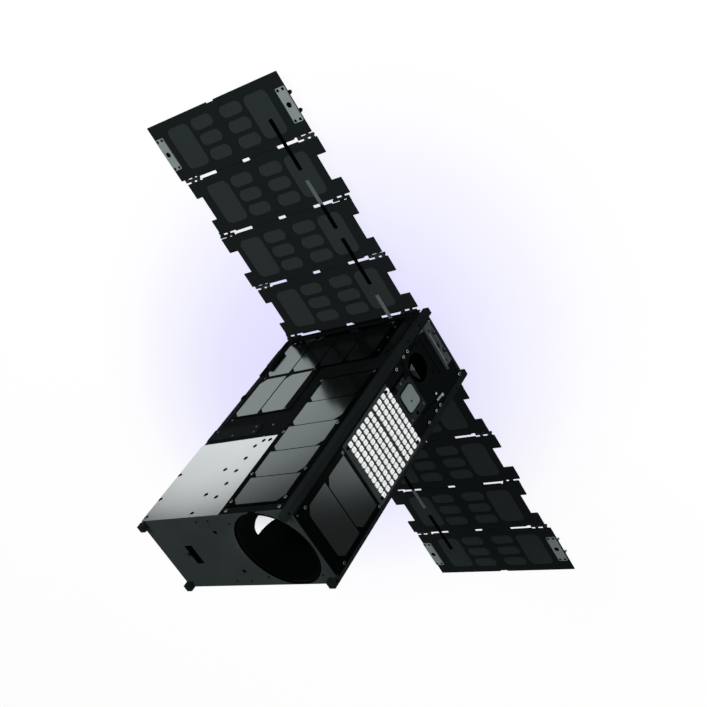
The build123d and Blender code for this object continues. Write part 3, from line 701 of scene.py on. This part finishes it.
fasten("large_frame_holes", "pin_hole", large, "front_frame", ((54.9, 96.8), (73.9, 96.8)))
fasten("large_frame_bore", "hole", large, "front_frame", ((92.9, 76),))
bar_screws = ((-103.5, 185), (-70, 196.5), (-38, 185.5), (-36, 194.5))
fasten("bar_screws", "small", large, "front_bar", bar_screws)
fasten("end_plate_bores", "hole", top, "telescope_end_plate", ((-8.2, 28.5), (-8.2, -28.5)))
plate_holes = ((21.8, 38.5), (21.4, -38.5), (99.4, -38), (-104.2, -43))
plate_holes += ((-25.2, 44), (-7.2, 44), (-29.7, -43), (-7.7, -43))
fasten("end_plate_holes", "pin_hole", top, "telescope_end_plate", plate_holes)
fasten("front_rail_holes", "pin_hole", narrow, "rail_front_right", ((46, 334), (46, 30), (46, 60)))
fasten("back_rail_holes", "pin_hole", narrow, "rail_back_right", ((-46, 334), (-46, 30)))

# ---- Left rail bar and catch ---------------------------------------------------------------------
# A blackened steel bar lies along the left rail by the hold-down, with a screw at each end, and a
# small catch of the same steel sits on the margin strip.
bar_low, bar_high = (-108.6, 50.0, 12.0), (-104.8, 52.6, 81.0)
catch_low, catch_high = (-110.9, 49.7, 117.0), (-105.5, 51.2, 124.0)
steel_edge, bar_screw_inset = 0.4 * mm, 1.8
rail_bar = plate_between(bar_low, bar_high, mm)
chamfer(rail_bar, steel_edge)
attach(rail_bar, "left_rail_bar", "anodised", black_steel_and_hole_shade)
bar_middle = (bar_low[0] + bar_high[0]) / 2
bar_ends = ((bar_middle, bar_low[2] + bar_screw_inset), (bar_middle, bar_high[2] - bar_screw_inset))
bar_heads = spread(head(*fastener_kinds["small"]), large, bar_high[1] * mm, bar_ends)
attach(bar_heads, "left_rail_bar_screws", "bare_metal")
catch = plate_between(catch_low, catch_high, mm)
chamfer(catch, steel_edge)
attach(catch, "margin_strip_catch", "anodised", black_steel_and_hole_shade)

# ---- Patch antenna -------------------------------------------------------------------------------
# A grey ceramic tile on a black foam gasket that shows all round it, glued to an anodised plate. Dark
# marks of painted shade stand for the feed pin's hole and for a slot in the frame beside the plate.
gasket_high, gasket_margin, gasket_round = 0.6 * mm, 1.5 * mm, 6.0 * mm
slot_low, slot_high, slot_round = (111.65, 24.0, 90.5), (111.75, 28.0, 126.5), 1.5 * mm
# Satin glaze: an even mid grey.
tile = surface("glazed antenna ceramic", "#656e6c", "#6e7777", 0.5)
finish_nodes(tile, "patch_antenna")
# Black anodising over a blasted plate, greyer than the frame behind it.
patch_plate_finish = surface("black anodised aluminium, patch plate", "#1a1f20", "#1e2425", 0.5)
finish_nodes(patch_plate_finish, "patch_plate")
tile_low, tile_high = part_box("patch_antenna")
gasket = plate_between(
    (tile_low[0], tile_low[1] - gasket_margin, tile_low[2] - gasket_margin),
    (tile_low[0] + gasket_high, tile_high[1] + gasket_margin, tile_high[2] + gasket_margin),
)
round_corners(gasket, 0, gasket_round)
tile_room = plate_between((tile_low[0] - gasket_high, tile_low[1], tile_low[2]), tile_high)
combine(gasket, tile_room, "DIFFERENCE")
attach(gasket, "patch_gasket", "anodised", foam_and_gap_shade)
fasten("patch_feed", "pin_hole", narrow, "patch_antenna", ((-2, 107),))
slot_shade_mark = plate_between(slot_low, slot_high, mm)
round_corners(slot_shade_mark, 0, slot_round)
attach(slot_shade_mark, "narrow_frame_slot_shade", "anodised", bore_dark)

# ---- Star tracker --------------------------------------------------------------------------------
# A milled plate with a round mouth, screwed to the narrow frame. The mouth's side towards the telescope
# is closed by a black web, and a small flat visor stands on it, lighter on one side of a line across it
# as painted light and darker on the other as painted shade.

# Black anodising outside, and optical black from just under the face inwards, so the mouth is unlit.
tracker_finish = surface("black anodised aluminium, tracker plate", "#0a0d0d", "#0d1010", 0.55)
finish_nodes(tracker_finish, "star_tracker")
mouth_lining = 0.2 * mm
tracker_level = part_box("star_tracker")[1][0]
tree = tracker_finish.node_tree
place = add_node(tree, "ShaderNodeTexCoord").outputs["Object"]
depth = add_node(tree, "ShaderNodeSeparateXYZ", {"Vector": place}).outputs["X"]
inside = add_node(
    tree, "ShaderNodeMath", {0: depth, 1: tracker_level - mouth_lining}, operation="LESS_THAN"
).outputs[0]
paint_over(tracker_finish, inside, "#010101")

mouth_y, mouth_z = 15.0, 68.55
web_x, web_radius, web_thick = 106.0, 15.9, 0.7
visor_level, visor_thick, visor_end, visor_sides = 75.0, 0.6, 112.4, (3.0, 26.0)
visor_cuts = (((112.4, 25.0), (106.6, 18.6)), ((106.4, 9.8), (112.4, 3.5)))
visor_light_line = ((106.9, 17.6), (112.7, 16.4))


def slice_off(made, first, second, keep=False):
    """Cuts a piece along an upright plane through two (x, y) places; drops what lies right of it."""
    run = Vector((second[0] - first[0], second[1] - first[1], 0)).normalized()
    only(made)
    bpy.ops.object.mode_set(mode="EDIT")
    bpy.ops.mesh.select_all(action="SELECT")
    bpy.ops.mesh.bisect(
        plane_co=(first[0] * mm, first[1] * mm, 0),
        plane_no=(-run.y, run.x, 0),
        use_fill=not keep,
        clear_inner=not keep,
    )
    bpy.ops.object.mode_set(mode="OBJECT")


web = upright_disc(web_radius * mm, web_thick * mm, (web_x, mouth_y, mouth_z), 64)
settle(web)
bpy.ops.object.mode_set(mode="EDIT")
bpy.ops.mesh.select_all(action="SELECT")
bpy.ops.mesh.bisect(
    plane_co=(0, 0, visor_level * mm), plane_no=(0, 0, 1), use_fill=True, clear_inner=True
)
bpy.ops.object.mode_set(mode="OBJECT")
attach(web, "star_tracker_web", "bare_metal", black_paint)
visor = plate_between(
    (web_x, visor_sides[0], visor_level - visor_thick), (visor_end, visor_sides[1], visor_level), mm
)
for first, second in visor_cuts:
    slice_off(visor, first, second)
slice_off(visor, *visor_light_line, keep=True)
# Painted light on one side of the line and painted shade on the other: one grey metal in two tones.
visor.data.materials.append(surface("grey metal, visor, painted light", "#687070", "#727a7a", 0.6))
visor.data.materials.append(surface("grey metal, visor, painted shade", "#2f3535", "#343a3a", 0.7))
light_line_slope = (visor_light_line[1][1] - visor_light_line[0][1]) / (visor_light_line[1][0] - visor_light_line[0][0])
for polygon in visor.data.polygons:
    light_line_y = visor_light_line[0][1] * mm + light_line_slope * (polygon.center.x - visor_light_line[0][0] * mm)
    polygon.material_index = int(polygon.center.y < light_line_y)
attach(visor, "star_tracker_visor", "bare_metal")

# ---- Angle bracket -------------------------------------------------------------------------------
# A bent aluminium bracket at the wings' end, anodised grey and screwed to the narrow frame, with a
# pressed ridge along it, drawn lighter as a painted highlight, and three slots drawn as painted shade.

# Thin anodising drifts in tone within a few millimetres, from handling.
bracket_finish = surface("grey anodised aluminium, bracket", "#343b3b", "#454c4c", 0.45, drift=12)
finish_nodes(bracket_finish, "side_bracket")
bracket_level = 112.85 * mm
ridge_y, ridge_z, ridge_radius, ridge_point = (-13.5, 27.0), 22.6, 0.9, 1.2
slot_under, slot_over = 0.2 * mm, 0.05 * mm
slot_table = (  # y, z, length, width
    (31.0, 20.9, 3.0, 2.5),
    (9.0, 18.9, 7.6, 2.3),
    (-12.0, 20.0, 4.2, 2.3),
)
deselect()
bpy.ops.mesh.primitive_cylinder_add(
    vertices=16, radius=ridge_radius * mm, depth=(ridge_y[1] - ridge_y[0]) * mm
)
ridge = bpy.context.object
ridge.rotation_euler = (math.pi / 2, 0, 0)
ridge.location = (bracket_level, sum(ridge_y) / 2 * mm, ridge_z * mm)
settle(ridge)
open_faces(ridge, lambda polygon: abs(polygon.normal.y) > 0.9)
bpy.ops.mesh.inset(thickness=0.6 * ridge_radius * mm, depth=ridge_point * mm)
bpy.ops.mesh.select_all(action="SELECT")
bpy.ops.mesh.bisect(
    plane_co=(bracket_level, 0, 0), plane_no=(1, 0, 0), use_fill=True, clear_inner=True
)
bpy.ops.object.mode_set(mode="OBJECT")
# Painted highlight: the ridge is drawn in a lighter grey, for the light along its edge.
ridge_highlight = surface("grey anodising, ridge, painted highlight", "#606867", "#6e7675", 0.4)
attach(ridge, "bracket_ridge", "anodised", ridge_highlight)
# Each slot is a dark mark of painted shade, just proud of the bracket's face.
for number, (slot_y, slot_z, slot_length, slot_width) in enumerate(slot_table, 1):
    slot_shade_mark = plate_between(
        (bracket_level - slot_under, (slot_y - slot_length / 2) * mm, (slot_z - slot_width / 2) * mm),
        (bracket_level + slot_over, (slot_y + slot_length / 2) * mm, (slot_z + slot_width / 2) * mm),
    )
    round_corners(slot_shade_mark, 0, 0.49 * slot_width * mm)
    attach(slot_shade_mark, f"bracket_slot_shade_{number}", "anodised", bore_dark)

# ---- Coaxial lead --------------------------------------------------------------------------------
# A short rigid coaxial stub with its nut and lug, screwed to the narrow frame near the back rail. Its
# thin black lead is tied along the frame to the patch antenna's plate.
frame_level = 111.65
lead_radius, lead_gap = 0.45, 0.2


def rod(start, end, radius, vertices=16):
    """A bar between two points in mm."""
    first, last = Vector(start) * mm, Vector(end) * mm
    run = last - first
    deselect()
    bpy.ops.mesh.primitive_cylinder_add(vertices=vertices, radius=radius * mm, depth=run.length)
    made = bpy.context.object
    turn = run.to_track_quat("Z", "Y").to_matrix().to_4x4()
    made.matrix_world = Matrix.Translation((first + last) / 2) @ turn
    settle(made)
    return made


stub_x, nut_top, lug_top, fitting_edge = frame_level + 1.6, frame_level + 3.2, frame_level + 1.6, 0.3
fitting_table = (  # name, start, end, radius, sides
    ("coax_stub", (stub_x, -32.6, 60.5), (stub_x, -32.0, 70.5), 1.5, 16),
    ("coax_nut", (frame_level, -33.2, 58.2), (nut_top, -33.2, 58.2), 2.4, 6),
    ("coax_lug", (frame_level, -26.0, 64.8), (lug_top, -26.0, 64.8), 1.9, 6),
)
for name, start, end, radius, sides in fitting_table:
    fitting = rod(start, end, radius, sides)
    chamfer(fitting, fitting_edge * mm)
    attach(fitting, name, "bare_metal", steel)
lead_points = ((-32, 70), (-31.5, 74), (-28.5, 79), (-27.2, 86), (-27.0, 96), (-25.0, 102), (-20.5, 104))
lead_curve = bpy.data.curves.new("coax_lead", "CURVE")
lead_curve.dimensions = "3D"
lead_curve.bevel_depth = lead_radius * mm
lead_curve.bevel_resolution = 3
lead_line = lead_curve.splines.new("NURBS")
lead_line.points.add(len(lead_points) - 1)
for point, (y, z) in zip(lead_line.points, lead_points):
    point.co = ((frame_level + lead_radius + lead_gap) * mm, y * mm, z * mm, 1)
lead_line.order_u = 3
lead_line.use_endpoint_u = True
lead = bpy.data.objects.new("coax_lead", lead_curve)
scene.collection.objects.link(lead)
only(lead)
bpy.ops.object.convert(target="MESH")
# Extruded plastic, satin black.
lead_jacket = surface("black cable jacket", "#040606", "#070909", 0.6)
attach(bpy.context.object, "coax_lead", "anodised", lead_jacket)

# ---- Radiators -----------------------------------------------------------------------------------
# Thin rolled aluminium sheets, clear anodised and screwed to the large frames through eyelets. The
# rolled sheet mirrors the floor softly and is the body's only large bright face.
radiator_finish = surface(
    "clear anodised aluminium", "#e2dada", "#e8e0e0", 0.13, metallic=1.0, grain=0.5, drift=90, ior=1.5
)
finish_nodes(radiator_finish, "front_radiator", "back_radiator")

# ---- Wing leaves ---------------------------------------------------------------------------------
# Four hinged leaves a side of coated cloth laminate, with shallow pockets milled in their upper faces.
# The weave of the cloth is drawn at about its real size.
wings = (("front", 1), ("back", -1))
leaf_top = 9.5
pocket_level = 9.3 * mm


def laminate(name, coat_stops, pocket_stops, weave_size=1.2):
    """Coated laminate, its weave in mm; what faces up below the coat takes the pockets' shade."""
    material, tree, output = new_material(name)
    coordinates = add_node(tree, "ShaderNodeTexCoord")
    place = coordinates.outputs["Object"]
    level = add_node(tree, "ShaderNodeSeparateXYZ", {"Vector": place}).outputs["Z"]
    normal = coordinates.outputs["Normal"]
    upward = add_node(tree, "ShaderNodeSeparateXYZ", {"Vector": normal}).outputs["Z"]
    sunk = add_node(
        tree, "ShaderNodeMath", {0: level, 1: pocket_level}, operation="LESS_THAN"
    ).outputs[0]
    flat = add_node(tree, "ShaderNodeMath", {0: upward, 1: 0.7}, operation="GREATER_THAN").outputs[0]
    in_pocket = add_node(tree, "ShaderNodeMath", {0: sunk, 1: flat}, operation="MULTIPLY").outputs[0]
    weave = add_node(
        tree, "ShaderNodeTexNoise", {"Vector": place, "Scale": 1 / (weave_size * mm), "Detail": 2.0}
    ).outputs["Fac"]
    shade = add_node(tree, "ShaderNodeMix", {"Factor": in_pocket}, data_type="RGBA")
    tree.links.new(ramp(tree, weave, coat_stops), shade.inputs[6])
    tree.links.new(ramp(tree, weave, pocket_stops), shade.inputs[7])
    bump = add_node(
        tree, "ShaderNodeBump", {"Height": weave, "Strength": 0.3, "Distance": 0.02 * mm}
    ).outputs[0]
    shader = add_node(
        tree,
        "ShaderNodeBsdfPrincipled",
        {"Base Color": shade.outputs[2], "Roughness": 0.7, "Normal": bump, "IOR": 1.03},
    )
    tree.links.new(shader.outputs[0], output.inputs["Surface"])
    return material


# A matte black coat with the cloth faintly under it; the milled pockets are dark grey.
coat_stops = ((0.35, "#141919"), (0.7, "#181c1c"))
pocket_stops = ((0.35, "#242a2a"), (0.7, "#282e2e"))
wing_laminate = laminate("black coated laminate", coat_stops, pocket_stops)
for wing, side in wings:
    finish_nodes(wing_laminate, *(f"{wing}_panel_{number}" for number in range(1, 5)))

# ---- Root shade strips ---------------------------------------------------------------------------
# Painted shade: strips of the black foam, glued to the body over each root hinge, fill the gap to the
# first leaf as dark as shade. They reach further out where the leaf's edge steps back.
shade_strip_foot, shade_strip_z = 51.4, (7.1, 7.5)
shade_strip_table = (  # from x, to x, how far it reaches out along y
    (-91.0, -50.0, 53.0),
    (-50.0, -6.0, 57.0),
    (-6.0, 6.0, 53.0),
    (6.0, 50.0, 57.0),
    (50.0, 91.0, 53.0),
)
for wing, side in wings:
    for number, (start, end, reach) in enumerate(shade_strip_table, 1):
        across = sorted((side * start, side * end))
        along = sorted((side * shade_strip_foot, side * reach))
        shade_strip = plate_between(*zip(across, along, shade_strip_z), mm)
        attach(shade_strip, f"{wing}_root_shade_strip_{number}", "baffle", foam_and_gap_shade)

# ---- Tip brackets --------------------------------------------------------------------------------
# Two aluminium brackets on each last leaf, bead-blasted and screwed down through it, each with a wide
# bush in its middle. The studs of one of the two stand in blackened collars.
bracket_places = (-101.5, 98.5)
bracket_y, bracket_screw_u, bracket_screw_v = 330.25, 3.7, 18.4
stud_x, stud_reach = 103.5, 11.0
collar_low, collar_high, collar_radius, collar_edge = 4.0, 7.9, 2.4, 0.4 * mm
# Blasting leaves an even mid grey without highlights.
bracket_metal = surface("bead-blasted aluminium, tip brackets", "#747c7c", "#7e8686", 0.55)
for wing, side in wings:
    carrier, last_leaf = f"{wing}_tip_brackets", f"{wing}_leaf_4"
    finish_nodes(bracket_metal, carrier)
    corners = [
        (side * (bracket_x + u), side * (bracket_y + v))
        for bracket_x in bracket_places
        for u in (-bracket_screw_u, bracket_screw_u)
        for v in (-bracket_screw_v, bracket_screw_v)
    ]
    middles = [(side * bracket_x, side * bracket_y) for bracket_x in bracket_places]
    # The corner marks and the middle of each bush are dark discs of painted shade for holes.
    fasten(f"{wing}_bracket_screws", "bracket_hole", top, carrier, corners, body=last_leaf)
    fasten(f"{wing}_bracket_bushes", "bush", top, carrier, middles, body=last_leaf)
    for number, stud_y in enumerate((bracket_y - stud_reach, bracket_y + stud_reach), 1):
        foot = Vector((side * stud_x, side * stud_y, collar_low))
        collar = rod(foot, foot + Vector((0, 0, collar_high - collar_low)), collar_radius)
        chamfer(collar, collar_edge)
        attach(collar, f"{wing}_stud_collar_{number}", "bare_metal", black_steel_and_hole_shade, body=last_leaf)

# ---- Hinge circuits ------------------------------------------------------------------------------
# Flat flexible circuits, glued to the leaves on both sides of each hinge and laid flat over it.
circuit_x, circuit_width, circuit_half, circuit_thick = 63.35, 5.5, 32.5, 0.15
circuit_bend, circuit_steps, root_circuit = 3, 24, (52, 86)
hinge_lines = (55.5, 134.0, 212.5, 291.0)
# Coated polyimide film: a black one vanishes in the laminate, a grey one shows as a satin strip.
dark_circuit = surface("coated polyimide film, black", "#010202", "#020303", 0.6)
grey_circuit = surface("coated polyimide film, grey", "#4d5454", "#565d5d", 0.5)


def circuit(name, side, start, end, finishes, bodies):
    """A flat flexible circuit on a wing, from one distance to another, laid flat across a hinge.

    With two finishes it changes at the hinge line. The bodies argument is not used.
    """
    hinge = min(hinge_lines, key=lambda line: abs(line - (start + end) / 2))
    deselect()
    bpy.ops.mesh.primitive_grid_add(x_subdivisions=2, y_subdivisions=circuit_steps, size=1)
    strip = bpy.context.object
    strip.scale = (circuit_width * mm, (end - start) * mm, 1)
    strip.location = (side * circuit_x * mm, side * (start + end) / 2 * mm, leaf_top * mm)
    settle(strip)
    only(strip)
    bpy.ops.object.mode_set(mode="EDIT")
    bpy.ops.mesh.select_all(action="SELECT")
    bpy.ops.mesh.solidify(thickness=-circuit_thick * mm)
    bpy.ops.mesh.normals_make_consistent(inside=False)
    bpy.ops.object.mode_set(mode="OBJECT")
    for finish in finishes:
        strip.data.materials.append(finish)
    for polygon in strip.data.polygons:
        polygon.material_index = int(len(finishes) > 1 and abs(polygon.center.y) > hinge * mm)
    attach(strip, name, "panel", body=None)
    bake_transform(strip)


for wing, side in wings:
    leaves = [f"{wing}_leaf_{number}" for number in range(1, 5)]
    for number, *finishes in ((3, dark_circuit), (2, dark_circuit, grey_circuit), (1, dark_circuit)):
        start, end = hinge_lines[number] - circuit_half, hinge_lines[number] + circuit_half
        pair = leaves[number - 1 : number + 1]
        circuit(f"{wing}_circuit_{number}", side, start, end, finishes, pair)
    circuit(f"{wing}_circuit_root", side, *root_circuit, [grey_circuit], ["bus", leaves[0]])
